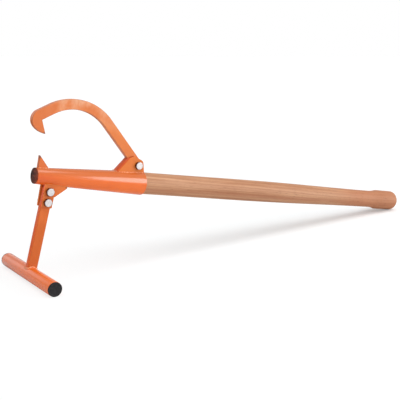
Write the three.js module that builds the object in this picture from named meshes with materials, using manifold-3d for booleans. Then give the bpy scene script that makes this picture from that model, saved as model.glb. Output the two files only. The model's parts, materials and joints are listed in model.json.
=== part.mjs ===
// Log lifter: a long wooden lever with a steel head. A tapered tube takes the handle. On its
// back it carries a fixed tooth and a folded bracket with a swinging hook, and under its nose a
// leg that is bolted between two plates and ends in a round foot bar. Hook and tooth bite a
// log, and the foot bar is the heel that the lever rolls on to lift the log off the ground.
//
// Lengths are millimetres. The tool frame has its origin at the middle of the tube's front end,
// +X along the tube towards the end of the handle, +Z out of the tube's back, where the hook
// is, and +Y to the far side. The whole tool is then tilted, so that the foot bar and the knob
// stand on the ground, with +Z up.

import * as THREE from 'three';
import { mergeVertices } from 'three/addons/utils/BufferGeometryUtils.js';
import Module from 'manifold-3d';

const wasm = await Module();
wasm.setup();

// General
const seatGap = 0.3; // between pieces that are welded, bolted or pushed together
const cutOverrun = 6; // how far every cutter passes what it cuts
const roundFacets = 40; // sides of a full turn on tubes and handle
const smallFacets = 24; // sides of a full turn on bolts, washers and holes
const arcFacets = 10; // steps of one arc of an outline
const bendFacets = 18; // steps of each arc of the hook
const cornerFacets = 4; // steps of one small corner of a section
const waveFacets = 8; // steps of one long curve along the handle
const hexSides = 6;

// Tapered tube that holds the handle
const tubeLength = 268;
const tubeFrontRadius = 17.8;
const tubeRearRadius = 28.5;
const tubeWall = 2.2;

// Plastic plugs in the tube's nose and in the foot bar
const plugFace = 2.5;
const plugEdge = 0.8;
const plugInset = 0.3; // how far a plug's face stays inside its tube's outside
const plugSpigot = 14;
const plugWall = 2;

// Wooden handle
const overallLength = 1219; // front of the tube to the end of the knob
const shankLength = 180; // hidden in the tube
const shankChamfer = 4;
const bellyRadius = 28;
const bellyShare = 0.46; // of the bare handle between the tube's mouth and its neck
const neckRadius = 25.1;
const flareLength = 34; // neck to knob
const knobRadius = 29.1;
const knobLength = 84;
const knobRidge = 2; // short slope that ends the flare
const knobEndRound = 13;

// Leg, a rectangular tube
const legWidth = 23; // along the tool
const legDepth = 14; // across it
const legWall = 2;
const legCornerRadius = 2.5;
const legRoot = 36.6; // tube's front end to where the leg's middle line meets the tube's axis
const legLeanDegrees = 5.91; // the foot stands this much forward of square
const legSpan = 217.5; // tube's axis to the foot bar's axis
const legTopDrop = 24.5; // tube's axis to the leg's upper end

// Foot bar, a round tube across the tool
const footLength = 256;
const footRadius = 15.9;
const footWall = 2;

// Two plates that clasp the leg
const legPlateThickness = 4;
const legPlateDrop = 67.5; // tube's axis to the lower edge
const legPlateLipTop = 4.5; // how far the front edge stands out before the leg, at the tube
const legPlateLipFoot = 1.5; // and at the lower edge
const legPlateBack = 0.9; // how far the rear edge stands out behind the leg
const gussetStep = 1.5; // step where the slanted web starts
const gussetDrop = 42; // tube's axis to that step
const gussetReach = 26.5; // leg's rear to the end of the web at the tube
const gussetRise = 18.7; // tube's axis to that end
const plateCorner = 2;

// Bolts, washers and nuts, all of one size
const boltRadius = 5;
const boltHeadFlats = 17;
const boltHeadHeight = 6.4;
const boltEnd = 3.5; // what stands out past the nut
const boltEndChamfer = 1;
const hexChamfer = 1.2;
const nutHeight = 8;
const washerRadius = 10;
const washerThickness = 2;
const legBoltDrop = 32.3; // tube's axis to the upper bolt, along the leg
const legBoltSpacing = 23.7;

// Fixed tooth on the tube's back
const toothThickness = 8;
const toothStart = 3.2; // tube's front end to the tooth
const toothLength = 24;
const toothHeight = 28.5; // over the tube's back
const toothSetback = 1.2; // of the point behind the tooth's front foot
const toothHeel = 1;
const toothPoint = 1; // round of the point
const plateEdge = 0.7; // broken edges of the tooth and the hook

// Hook, a flat bar
const hookThickness = 12;
const hookWidth = 23;
const hookHeelRadius = 13.5; // round the pivot
const hookArmDegrees = 136; // direction of the arm at rest, from +X towards +Z
const hookArmLength = 126.8; // pivot to the start of the bend
const hookBendRadius = 102; // inside of the bend
const hookBendDegrees = 75.2;
const hookReachLength = 31.4; // straight stretch from the bend to the beak
const beakDegrees = 79; // turn from that stretch to the beak
const beakLength = 31;
const beakBackDegrees = 101; // round back of the beak
const beakEase = 14; // how far the back runs on before it bends to the point
const hookPivotInset = 19.4; // pivot to the tube's mouth
const hookHeelClearance = 0.5; // pivot's round heel over the tube

// Folded bracket for the hook
const bracketThickness = 5;
const bracketSideGap = 0.5; // cheek to hook
const bracketBendRadius = 2.5; // inside of the fold
const bracketInset = 75.5; // folded web's foot to the tube's mouth
const bracketStopReach = 32; // pivot to the web's upper edge, along the hook's arm
const bracketTopRise = 21.5; // pivot to the top corner
const bracketTopSetback = 13.7; // top corner before the pivot
const bracketTopRound = 6;
const bracketRearReach = 12; // pivot to the rear corner
const bracketRearRise = 11.5;
const bracketRearRound = 10;
const bracketRearFlare = 9; // how far the rear edge runs out again towards the tube

const radians = THREE.MathUtils.degToRad;

// Worked out from the sizes above
const tubeTaper = (tubeRearRadius - tubeFrontRadius) / tubeLength;
const tubeRadiusAt = (x) => tubeFrontRadius + tubeTaper * x;
const legHalfDepthOut = legDepth / 2 + seatGap; // inner face of the leg's plates
const hookPivotX = tubeLength - hookPivotInset;
const bracketStart = tubeLength - bracketInset;
const hookPivotZ = tubeRadiusAt(hookPivotX) + hookHeelClearance + hookHeelRadius;
const cheekIn = hookThickness / 2 + bracketSideGap;
const cheekOut = cheekIn + bracketThickness;
const boltHole = boltRadius + seatGap;

// A closed three.js geometry as a solid that can be joined and cut.
function solid(geometry) {
  const bare = geometry.clone();
  bare.deleteAttribute('normal');
  bare.deleteAttribute('uv');
  const merged = mergeVertices(bare);
  const vertProperties = new Float32Array(merged.attributes.position.array);
  const triVerts = new Uint32Array(merged.index.array);
  return new wasm.Manifold(new wasm.Mesh({ numProp: 3, vertProperties, triVerts }));
}

function geometryOf(body) {
  const mesh = body.getMesh();
  const geometry = new THREE.BufferGeometry();
  geometry.setAttribute('position', new THREE.BufferAttribute(mesh.vertProperties, mesh.numProp));
  geometry.setIndex(new THREE.BufferAttribute(mesh.triVerts, 1));
  geometry.computeVertexNormals();
  return geometry;
}

const point = (x, y) => new THREE.Vector2(x, y);
const polar = (radius, angle) => point(radius * Math.cos(angle), radius * Math.sin(angle));
const moved = (start, distance, angle) => start.clone().add(polar(distance, angle));

// A profile of [station, radius] pairs turned round the X axis. The profile runs towards +X on
// the outside.
function turnedOnX(profile, facets) {
  const points = profile.map(([station, radius]) => point(radius, station));
  return new THREE.LatheGeometry(points, facets).rotateZ(-Math.PI / 2);
}

// The same round the Y axis.
function turnedOnY(profile, facets) {
  const points = profile.map(([station, radius]) => point(radius, station));
  return new THREE.LatheGeometry(points, facets);
}

// A flat plate whose outline lies in the XZ plane, centred on y = middle.
function plate(outline, thickness, middle, edge = 0, curveSegments = arcFacets) {
  const geometry = new THREE.ExtrudeGeometry(outline, {
    depth: thickness - 2 * edge,
    bevelEnabled: edge > 0,
    bevelThickness: edge,
    bevelSize: edge,
    bevelOffset: -edge,
    bevelSegments: 1,
    curveSegments,
  });
  return geometry.rotateX(Math.PI / 2).translate(0, middle + thickness / 2 - edge, 0);
}

// A closed outline through corners of [point, radius], with each corner rounded by an arc.
function roundedOutline(corners) {
  const shape = new THREE.Shape();
  const count = corners.length;
  corners.forEach(([corner, radius], i) => {
    const inward = corners[(i + count - 1) % count][0].clone().sub(corner).normalize();
    const onward = corners[(i + 1) % count][0].clone().sub(corner).normalize();
    if (radius === 0) {
      if (i === 0) shape.moveTo(corner.x, corner.y);
      else shape.lineTo(corner.x, corner.y);
      return;
    }
    const halfAngle = Math.acos(inward.dot(onward)) / 2;
    const reach = radius / Math.tan(halfAngle);
    const start = corner.clone().addScaledVector(inward, reach);
    const end = corner.clone().addScaledVector(onward, reach);
    const middle = inward.clone().add(onward).normalize();
    const centre = corner.clone().addScaledVector(middle, radius / Math.sin(halfAngle));
    const clockwise = inward.cross(onward) > 0;
    const from = start.clone().sub(centre).angle();
    const to = end.clone().sub(centre).angle();
    if (i === 0) shape.moveTo(start.x, start.y);
    else shape.lineTo(start.x, start.y);
    shape.absarc(centre.x, centre.y, radius, from, to, clockwise);
  });
  shape.closePath();
  return shape;
}

// A round bar along Y, as a cutter or as the start of a bolt.
function barOnY(radius, from, to, facets = smallFacets) {
  const length = to - from;
  return new THREE.CylinderGeometry(radius, radius, length, facets).translate(0, from + length / 2, 0);
}

// The tube's outside with the welding gap, as a cutter for what is welded on it.
function tubeCutter() {
  const end = tubeLength + cutOverrun;
  return solid(turnedOnX([
    [-cutOverrun, 0],
    [-cutOverrun, tubeRadiusAt(-cutOverrun) + seatGap],
    [end, tubeRadiusAt(end) + seatGap],
    [end, 0],
  ], roundFacets));
}

// From the leg's frame, whose origin is on the tube's axis and whose +Z runs up the leg.
const fromLegFrame = (geometry) => geometry.rotateY(radians(legLeanDegrees)).translate(legRoot, 0, 0);

const finish = (color, roughness, metalness) =>
  new THREE.MeshStandardMaterial({ color, roughness, metalness });
const enamel = () => finish(0xe9733a, 0.42, 0);
const hardwood = () => finish(0xc69069, 0.55, 0);
const blackPlastic = () => finish(0x2c2a2d, 0.6, 0);
const zincSteel = () => finish(0xd8dde0, 0.3, 0.9);

function named(name, geometry, material) {
  const mesh = new THREE.Mesh(geometry, material());
  mesh.name = name;
  return mesh;
}

function socketTube() {
  return turnedOnX([
    [0, tubeFrontRadius - tubeWall],
    [0, tubeFrontRadius],
    [tubeLength, tubeRearRadius],
    [tubeLength, tubeRearRadius - tubeWall],
    [0, tubeFrontRadius - tubeWall],
  ], roundFacets);
}

// A plug's profile: a round face outside and a hollow spigot, from -plugFace to its inner end.
function plugProfile(tubeRadius, wall) {
  const face = tubeRadius - plugInset;
  const spigot = tubeRadius - wall - seatGap;
  return [
    [-plugFace - seatGap, 0],
    [-plugFace - seatGap, face - plugEdge],
    [-plugFace - seatGap + plugEdge, face],
    [-seatGap, face],
    [-seatGap, spigot],
    [plugSpigot, spigot],
    [plugSpigot, spigot - plugWall],
    [plugWall, spigot - plugWall],
    [plugWall, 0],
  ];
}

function handle() {
  const mouth = tubeLength;
  const mouthRadius = tubeRearRadius - tubeWall - seatGap;
  const knobStart = overallLength - knobLength;
  const neck = knobStart - flareLength;
  const belly = mouth + bellyShare * (neck - mouth);
  const shankStart = mouth - shankLength;
  const shankRadius = mouthRadius - tubeTaper * shankLength;
  const profile = [
    [shankStart, 0],
    [shankStart, shankRadius - shankChamfer],
    [shankStart + shankChamfer, shankRadius + tubeTaper * shankChamfer],
  ];
  const flareRadius = knobRadius - knobRidge / 2;
  // A stretch whose radius eases from one value to the next, by a share of rise over a share of run.
  const stretch = (from, fromRadius, to, toRadius, rise) => {
    for (let i = 0; i < waveFacets; i += 1) {
      const run = i / waveFacets;
      profile.push([from + run * (to - from), fromRadius + rise(run) * (toRadius - fromRadius)]);
    }
  };
  const halfWave = (run) => (1 - Math.cos(Math.PI * run)) / 2;
  const quarterWave = (run) => 1 - Math.cos((Math.PI / 2) * run);
  stretch(mouth, mouthRadius, belly, bellyRadius, halfWave);
  stretch(belly, bellyRadius, neck, neckRadius, halfWave);
  stretch(neck, neckRadius, knobStart, flareRadius, quarterWave);
  profile.push([knobStart, flareRadius]);
  profile.push([knobStart + knobRidge, knobRadius]);
  for (let i = 0; i <= arcFacets / 2; i += 1) {
    const angle = (Math.PI / 2) * (1 - i / (arcFacets / 2));
    const { x, y } = polar(knobEndRound, angle);
    profile.push([overallLength - knobEndRound + x, knobRadius - knobEndRound + y]);
  }
  profile.push([overallLength, 0]);
  return turnedOnX(profile, roundFacets);
}

// A hexagon across Y with its outer corners turned off at one or both ends.
function hexOnY(from, to, chamferFrom, chamferTo) {
  const corner = boltHeadFlats / 2 / Math.cos(Math.PI / hexSides);
  const hex = solid(barOnY(corner, from, to, hexSides));
  const flat = boltHeadFlats / 2;
  const turned = solid(turnedOnY([
    [from, 0],
    [from, chamferFrom ? flat : corner + cutOverrun],
    [from + hexChamfer, corner + (chamferFrom ? 0 : cutOverrun)],
    [to - hexChamfer, corner + (chamferTo ? 0 : cutOverrun)],
    [to, chamferTo ? flat : corner + cutOverrun],
    [to, 0],
  ], smallFacets));
  return hex.intersect(turned);
}

// Bolt, washer and nut that clamp a stack which reaches stackHalf either side of y = 0. The head
// bears on the near side, and the washer lies under the nut on the far side.
function fastener(name, stackHalf, x, z, turn) {
  const seat = stackHalf + seatGap;
  const washerOut = seat + washerThickness;
  const nutIn = washerOut + seatGap;
  const nutOut = nutIn + nutHeight;
  const shankEnd = nutOut + boltEnd;
  const head = hexOnY(-seat - boltHeadHeight, -seat, true, false);
  const shank = solid(turnedOnY([
    [-seat - boltHeadHeight / 2, 0],
    [-seat - boltHeadHeight / 2, boltRadius],
    [shankEnd - boltEndChamfer, boltRadius],
    [shankEnd, boltRadius - boltEndChamfer],
    [shankEnd, 0],
  ], smallFacets));
  const bore = solid(barOnY(boltHole, nutIn - cutOverrun, nutOut + cutOverrun));
  const nut = hexOnY(nutIn, nutOut, true, true).subtract(bore);
  const washer = turnedOnY([
    [seat, boltHole],
    [seat, washerRadius],
    [washerOut, washerRadius],
    [washerOut, boltHole],
    [seat, boltHole],
  ], smallFacets);
  const place = (geometry) => geometry.rotateY(turn).translate(x, 0, z);
  return [
    named(`${name}_bolt`, place(geometryOf(head.add(shank))), zincSteel),
    named(`${name}_washer`, place(washer), zincSteel),
    named(`${name}_nut`, place(geometryOf(nut)), zincSteel),
  ];
}

function tooth() {
  const back = tubeRadiusAt(toothStart);
  const inside = back - cutOverrun;
  const outline = roundedOutline([
    [point(toothStart, inside), 0],
    [point(toothStart + toothLength, inside), 0],
    [point(toothStart + toothLength, tubeRadiusAt(toothStart + toothLength) + toothHeel), 0],
    [point(toothStart + toothSetback, back + toothHeight), toothPoint],
  ]);
  const body = solid(plate(outline, toothThickness, 0, plateEdge));
  return geometryOf(body.subtract(tubeCutter()));
}

// The leg's two bolts lie on its middle line. Each place is a distance below the tube's axis.
const legBoltDrops = [legBoltDrop, legBoltDrop + legBoltSpacing];

function legPlate(side) {
  const front = -legWidth / 2;
  const rear = legWidth / 2 + legPlateBack;
  const outline = roundedOutline([
    [point(front - legPlateLipTop, 0), 0],
    [point(front - legPlateLipFoot, -legPlateDrop), plateCorner],
    [point(rear, -legPlateDrop), plateCorner],
    [point(rear, -gussetDrop), 0],
    [point(rear + gussetStep, -gussetDrop), 0],
    [point(rear + gussetReach, -gussetRise), plateCorner],
    [point(rear + gussetReach, 0), 0],
  ]);
  legBoltDrops.forEach((drop) => {
    const hole = new THREE.Path();
    hole.absarc(0, -drop, boltHole, 0, 2 * Math.PI, true);
    outline.holes.push(hole);
  });
  const middle = side * (legHalfDepthOut + legPlateThickness / 2);
  const body = solid(fromLegFrame(plate(outline, legPlateThickness, middle)));
  return geometryOf(body.subtract(tubeCutter()));
}

// A rounded rectangle round the leg's middle line, in the plane across the leg.
function legSection(halfWidth, halfDepth, radius) {
  return roundedOutline([
    [point(-halfWidth, -halfDepth), radius],
    [point(halfWidth, -halfDepth), radius],
    [point(halfWidth, halfDepth), radius],
    [point(-halfWidth, halfDepth), radius],
  ]);
}

function leg() {
  const section = legSection(legWidth / 2, legDepth / 2, legCornerRadius);
  const inside = legSection(legWidth / 2 - legWall, legDepth / 2 - legWall, legCornerRadius - legWall);
  section.holes.push(inside);
  const tube = new THREE.ExtrudeGeometry(section, {
    depth: legSpan - legTopDrop,
    bevelEnabled: false,
    curveSegments: cornerFacets,
  });
  let body = solid(tube.translate(0, 0, -legSpan));
  const footCutter = barOnY(footRadius + seatGap, -legDepth, legDepth, roundFacets);
  body = body.subtract(solid(footCutter.translate(0, 0, -legSpan)));
  legBoltDrops.forEach((drop) => {
    body = body.subtract(solid(barOnY(boltHole, -legDepth, legDepth).translate(0, 0, -drop)));
  });
  return fromLegFrame(geometryOf(body));
}

function footTube() {
  const half = footLength / 2;
  const tube = turnedOnY([
    [-half, footRadius - footWall],
    [-half, footRadius],
    [half, footRadius],
    [half, footRadius - footWall],
    [-half, footRadius - footWall],
  ], roundFacets);
  return fromLegFrame(tube.translate(0, 0, -legSpan));
}

function footPlug(side) {
  const plug = turnedOnY(plugProfile(footRadius, footWall), roundFacets);
  plug.translate(0, -footLength / 2, 0);
  if (side > 0) plug.rotateX(Math.PI);
  return fromLegFrame(plug.translate(0, 0, -legSpan));
}

// The hook lies in the XZ plane round its pivot. Its bar keeps one width along the arm, round
// the bend and on to the beak, which turns back square and narrows to a point.
function hook() {
  const armWay = radians(hookArmDegrees);
  const reachWay = armWay + radians(hookBendDegrees);
  const beakWay = reachWay + radians(beakDegrees);
  const outOf = (way) => way - Math.PI / 2;
  const armInside = hookWidth - hookHeelRadius; // inner edge of the arm, before the pivot
  const heelForward = Math.sqrt(hookHeelRadius ** 2 - armInside ** 2);

  const origin = point(0, 0);
  const heelOut = moved(origin, hookHeelRadius, outOf(armWay));
  const armOutEnd = moved(heelOut, hookArmLength, armWay);
  const armInEnd = moved(armOutEnd, -hookWidth, outOf(armWay));
  const centre = moved(armInEnd, -hookBendRadius, outOf(armWay));
  const reachInStart = moved(centre, hookBendRadius, outOf(reachWay));
  const corner = moved(reachInStart, hookReachLength, reachWay);
  const tip = moved(corner, beakLength, beakWay);
  const backWay = outOf(reachWay) + radians(beakBackDegrees);
  const backEnd = moved(corner, hookWidth, backWay);
  const ease = moved(backEnd, beakEase, backWay + Math.PI / 2);
  const heelIn = moved(moved(origin, heelForward, armWay), -armInside, outOf(armWay));

  const outline = new THREE.Shape();
  outline.moveTo(heelOut.x, heelOut.y);
  outline.lineTo(armOutEnd.x, armOutEnd.y);
  outline.absarc(centre.x, centre.y, hookBendRadius + hookWidth, outOf(armWay), outOf(reachWay), false);
  outline.absarc(corner.x, corner.y, hookWidth, outOf(reachWay), backWay, false);
  outline.quadraticCurveTo(ease.x, ease.y, tip.x, tip.y);
  outline.lineTo(corner.x, corner.y);
  outline.absarc(centre.x, centre.y, hookBendRadius, outOf(reachWay), outOf(armWay), true);
  outline.lineTo(heelIn.x, heelIn.y);
  const heelInWay = Math.atan2(heelIn.y, heelIn.x);
  outline.absarc(0, 0, hookHeelRadius, heelInWay, outOf(armWay) + 2 * Math.PI, false);
  const hole = new THREE.Path();
  hole.absarc(0, 0, boltHole, 0, 2 * Math.PI, true);
  outline.holes.push(hole);
  const bar = plate(outline, hookThickness, 0, plateEdge, bendFacets);
  return bar.translate(hookPivotX, 0, hookPivotZ);
}

// One plate folded to a U: two cheeks for the hook's bolt and a sloping web in front, whose
// upper edge is the stop that the hook's arm leans on.
function hookBracket() {
  const pivot = point(hookPivotX, hookPivotZ);
  const armWay = radians(hookArmDegrees);
  const under = armWay + Math.PI / 2;
  const armUnder = hookWidth - hookHeelRadius + seatGap;
  const webTop = moved(moved(pivot, bracketStopReach, armWay), armUnder, under);
  const webFoot = point(bracketStart, tubeRadiusAt(bracketStart));
  const slope = webTop.clone().sub(webFoot).angle();
  const sunk = tubeRadiusAt(bracketStart) - cheekOut; // well under the tube's surface
  const cheek = roundedOutline([
    [moved(webFoot, -(webFoot.y - sunk) / Math.sin(slope), slope), 0],
    [point(pivot.x + bracketRearReach + bracketRearFlare, sunk), 0],
    [point(pivot.x + bracketRearReach, pivot.y + bracketRearRise), bracketRearRound],
    [point(pivot.x - bracketTopSetback, pivot.y + bracketTopRise), bracketTopRound],
    [webTop, 0],
  ]);
  const sides = solid(plate(cheek, 2 * cheekOut, 0));

  // The U section, across the slope: x runs back from the web's front face.
  const outerBend = bracketBendRadius + bracketThickness;
  const depth = bracketRearReach + hookPivotX - bracketStart + cutOverrun;
  const section = roundedOutline([
    [point(0, -cheekOut), outerBend],
    [point(depth, -cheekOut), 0],
    [point(depth, -cheekIn), 0],
    [point(bracketThickness, -cheekIn), bracketBendRadius],
    [point(bracketThickness, cheekIn), bracketBendRadius],
    [point(depth, cheekIn), 0],
    [point(depth, cheekOut), 0],
    [point(0, cheekOut), outerBend],
  ]);
  const fold = new THREE.ExtrudeGeometry(section, {
    depth: 2 * depth,
    bevelEnabled: false,
    curveSegments: cornerFacets,
  });
  fold.translate(0, 0, -depth).rotateY(Math.PI / 2 - slope).translate(webTop.x, 0, webTop.y);

  // What is cut away: the tube, the bolt's hole, and the web where it would meet the arm.
  const armSlot = new THREE.BoxGeometry(2 * hookArmLength, 2 * cheekIn, hookArmLength);
  armSlot.translate(0, 0, hookArmLength / 2 - armUnder).rotateY(Math.PI - armWay);
  armSlot.translate(pivot.x, 0, pivot.y);
  const boltBore = barOnY(boltHole, -cheekOut - cutOverrun, cheekOut + cutOverrun);
  boltBore.translate(pivot.x, 0, pivot.y);
  const body = sides.intersect(solid(fold))
    .subtract(tubeCutter())
    .subtract(solid(armSlot))
    .subtract(solid(boltBore));
  return geometryOf(body);
}

// All pieces in the tool frame
const tool = new THREE.Group();
tool.add(named('socket_tube', socketTube(), enamel));
tool.add(named('nose_plug', turnedOnX(plugProfile(tubeFrontRadius, tubeWall), roundFacets), blackPlastic));
tool.add(named('handle', handle(), hardwood));
tool.add(named('tooth', tooth(), enamel));
tool.add(named('hook_bracket', hookBracket(), enamel));
tool.add(named('hook', hook(), enamel));
tool.add(...fastener('hook', cheekOut, hookPivotX, hookPivotZ, 0));
tool.add(named('leg_plate_near', legPlate(-1), enamel));
tool.add(named('leg_plate_far', legPlate(1), enamel));
tool.add(named('leg', leg(), enamel));
['upper', 'lower'].forEach((place, i) => {
  const lean = radians(legLeanDegrees);
  const x = legRoot - legBoltDrops[i] * Math.sin(lean);
  const z = -legBoltDrops[i] * Math.cos(lean);
  tool.add(...fastener(`leg_${place}`, legHalfDepthOut + legPlateThickness, x, z, lean));
});
tool.add(named('foot_tube', footTube(), enamel));
tool.add(named('foot_plug_near', footPlug(-1), blackPlastic));
tool.add(named('foot_plug_far', footPlug(1), blackPlastic));

// The tilt that brings the foot bar and the round of the knob's lower edge to one level.
const lean = radians(legLeanDegrees);
const foot = point(legRoot - legSpan * Math.sin(lean), -legSpan * Math.cos(lean));
const knobRound = point(overallLength - knobEndRound, knobEndRound - knobRadius);
const span = knobRound.clone().sub(foot);
tool.rotation.y = Math.atan2(span.y, span.x) + Math.asin((footRadius - knobEndRound) / span.length());

// The origin is the middle of the tool's footprint, on the ground.
const logLifter = new THREE.Group();
logLifter.add(tool);
logLifter.updateMatrixWorld(true);
const box = new THREE.Box3().setFromObject(logLifter, true);
const middle = box.getCenter(new THREE.Vector3());
tool.position.set(-middle.x, 0, -box.min.z);

export default logLifter;
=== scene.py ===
"""Looks of a log lifter: enamelled steel head, turned wooden handle, zinc-plated bolts, black plugs.

Everything is in metres. Most new pieces are worked out in the tool's own frame, whose origin is the
middle of the tube's front end, with x along the tube towards the end of the handle, y to the far
side and z out of the tube's back, where the hook is.
"""

import json
import math

import bmesh
import bpy
import numpy as np
from mathutils import Matrix, Vector


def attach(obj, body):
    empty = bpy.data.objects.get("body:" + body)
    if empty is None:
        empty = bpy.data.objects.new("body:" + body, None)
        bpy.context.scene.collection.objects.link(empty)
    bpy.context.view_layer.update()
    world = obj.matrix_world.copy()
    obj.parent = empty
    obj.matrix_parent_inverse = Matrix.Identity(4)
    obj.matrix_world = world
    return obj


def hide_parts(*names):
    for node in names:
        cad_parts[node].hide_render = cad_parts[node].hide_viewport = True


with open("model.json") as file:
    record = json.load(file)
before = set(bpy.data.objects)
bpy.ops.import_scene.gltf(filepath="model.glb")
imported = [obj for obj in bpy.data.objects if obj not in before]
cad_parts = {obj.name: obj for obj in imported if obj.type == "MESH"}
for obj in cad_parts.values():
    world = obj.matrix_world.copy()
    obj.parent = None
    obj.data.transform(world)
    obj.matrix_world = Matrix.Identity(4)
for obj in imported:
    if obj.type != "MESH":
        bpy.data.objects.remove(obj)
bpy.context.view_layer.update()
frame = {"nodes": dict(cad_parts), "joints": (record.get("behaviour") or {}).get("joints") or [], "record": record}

MM = 0.001
TURN = 2 * math.pi

# The camera of the photograph, in the frame of the solids
CAMERA_PLACE = (-1158.908 * MM, -1385.642 * MM, 490.870 * MM)
CAMERA_YAW = 36.244
CAMERA_PITCH = 12.080
CAMERA_ROLL = 0.106
CAMERA_LENS = 62.0
SENSOR = 36.0

# Sizes of the turned pieces, of the fasteners and of what the welds follow, as in the solids
SEAT_GAP = 0.3 * MM
OVERALL_LENGTH = 1219 * MM
TUBE_LENGTH = 268 * MM
TUBE_FRONT = 17.8 * MM
TUBE_REAR = 28.5 * MM
TUBE_WALL = 2.2 * MM
BELLY_RADIUS = 28 * MM
BELLY_SHARE = 0.46
NECK_RADIUS = 25.1 * MM
FLARE_LENGTH = 34 * MM
KNOB_RADIUS = 29.1 * MM
KNOB_LENGTH = 84 * MM
KNOB_RIDGE = 2 * MM
KNOB_END_ROUND = 13 * MM
SHANK_LENGTH = 180 * MM
SHANK_CHAMFER = 4 * MM
PLUG_FACE = 2.5 * MM
PLUG_EDGE = 0.8 * MM
PLUG_INSET = 0.3 * MM
PLUG_SPIGOT = 14 * MM
PLUG_WALL = 2 * MM
LEG_ROOT = 36.6 * MM
LEG_LEAN = math.radians(5.91)
LEG_SPAN = 217.5 * MM
LEG_WIDTH = 23 * MM
LEG_DEPTH = 14 * MM
LEG_CORNER = 2.5 * MM
LEG_BOLT_DROPS = {"leg_upper": 32.3 * MM, "leg_lower": 56 * MM}
LEG_PLATES_HALF = 11.3 * MM
LEG_PLATE_FRONT = -15.5 * MM
LEG_PLATE_REAR = 38.5 * MM
FOOT_LENGTH = 256 * MM
FOOT_RADIUS = 15.9 * MM
FOOT_WALL = 2 * MM
BOLT_RADIUS = 5 * MM
BOLT_FLATS = 17 * MM
BOLT_HEAD = 6.4 * MM
BOLT_END = 3.5 * MM
BOLT_PITCH = 1.5 * MM
NUT_HEIGHT = 8 * MM
WASHER_RADIUS = 10 * MM
WASHER_THICKNESS = 2 * MM
BRACKET_HALF = 11.5 * MM
BRACKET_START = 192.5 * MM
BRACKET_END = 264 * MM
TOOTH_HALF = 4 * MM
TOOTH_START = 3.2 * MM
TOOTH_LENGTH = 24 * MM

# Trims that keep the foot bar and the handle's end inside the solids' box
FACET_TRIM = 0.02 * MM
END_TRIM = 0.15 * MM

# The beak is what lies this near to the hook's foremost point
BEAK_REACH = 40 * MM

# Facets round each turned piece, steps along the handle's waves, its flare and its end, and rows
# to a turn of thread
TUBE_FACETS = 160
FOOT_FACETS = 128
HANDLE_FACETS = 144
PLUG_FACETS = 96
BOLT_FACETS = 96
HANDLE_STEPS = 28
FLARE_STEPS = 16
END_STEPS = 16
THREAD_STEPS = 10

# Points on the lines that the welds follow, before these are spaced evenly
TOOTH_LINE_POINTS = 40
LONG_LINE_POINTS = 60
CORNER_LINE_POINTS = 20

# Doubles nearer than these are merged, in new pieces and in copies of solids
SEAM_MERGE = 1e-7
SOLID_MERGE = 2e-6

# Faces of a copy that turn less than the first are one face. Edges that turn more than the second
# are rounded
FLAT_ANGLE = math.radians(0.4)
ROUNDED_ANGLE = math.radians(28)

# A 45 degree face's normal across the tool, and how far from it still counts
CHAMFER_NORMAL = 0.7
CHAMFER_SPREAD = 0.2

# Sizes of the detail that the solids leave out
TUBE_EDGE_ROUND = 0.5 * MM
PLUG_DISH = 0.35 * MM
PLUG_DISH_EDGE = 3.4 * MM
PLUG_RIM = 2.4 * MM
PLUG_DISH_ROUND = 0.5 * MM
PLUG_SPIGOT_ROUND = 0.6 * MM
HEX_FLAT_SHARE = 0.90
HEX_CONE = math.radians(30)
HEX_BLUNT = 0.35 * MM
THREAD_SHARE = 0.55
BOLT_TIP_LENGTH = 1.2 * MM
BOLT_TIP_DEPTH = 1.1 * MM
NUT_LIP = 0.6 * MM
WASHER_EDGE_ROUND = 0.3 * MM
HOOK_EDGE_ROUND = 0.5 * MM
PLATE_EDGE_ROUND = 0.4 * MM
LEG_EDGE_ROUND = 0.3 * MM
BEAD_SIDES = 14
BEAD_LOW = 0.80
BEAD_SWELL = 0.30
BEAD_SPACING = 0.35 * MM
BEAD_PITCH = 2.6 * MM
THIN_BEAD = 1.3 * MM
BRACKET_BEAD = 1.7 * MM
BRACKET_BEAD_CORNER = 5 * MM
FOOT_BEAD = 2.4 * MM
FOOT_BEAD_PITCH = 4.4 * MM

# The floor's length and width, which no view sees the end of
FLOOR_SIZE = 120

# Where paints change. Each pair is where a change starts and where it is complete
FOLD_HALF = (11.2 * MM, 9.8 * MM)
CHEEK_TOP_SLOPE = 0.39
CHEEK_TOP = (-29.0 * MM, -28.6 * MM)
PLATE_FRONT_SLOPE = 0.0431
PLATE_FRONT = (-15.53 * MM, -15.73 * MM)
LEG_FRONT = (-10.0 * MM, -10.8 * MM)
LOWER_LEG = (-80 * MM, -125 * MM)
TUBE_FRONT_END = (60 * MM, 5 * MM)
TUBE_BACK = (-3 * MM, 14 * MM)
TUBE_SIDES = (-16 * MM, -4 * MM)
TIP_SHADE_REACH = (2.5 * MM, 7.5 * MM)
BEAK_SHADE_REACH = (2.5 * MM, 8.0 * MM)
PAST_BEAK = (0, 50 * MM)
SHEEN_BEND = (100 * MM, 190 * MM)
BROWNER_END = (880 * MM, 1060 * MM)
FLOOR_BY_FOOT = (150 * MM, 620 * MM)
FLOOR_BY_KNOB = (200 * MM, 500 * MM)
FLOOR_BEHIND = (450 * MM, 700 * MM)

# Just inside the outer faces of the bolts' heads and of the nuts, from the tool's middle
HEAD_FACE = 17.9 * MM
NUT_FACE = 21.8 * MM
FACE_BLEND = 0.4 * MM

# The tool's frame, from the mount on the end of the handle
handle_end = next(m for m in frame["record"]["mounts"] if m["name"] == "handle_end")
tool_x = Vector(handle_end["axis"]).normalized()
tool_origin = np.array(Vector(handle_end["pos_m"]) - tool_x * OVERALL_LENGTH)
tool_tilt = math.asin(-tool_x.z)
hook_pivot = np.array(frame["joints"][0]["pos_m"])


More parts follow.
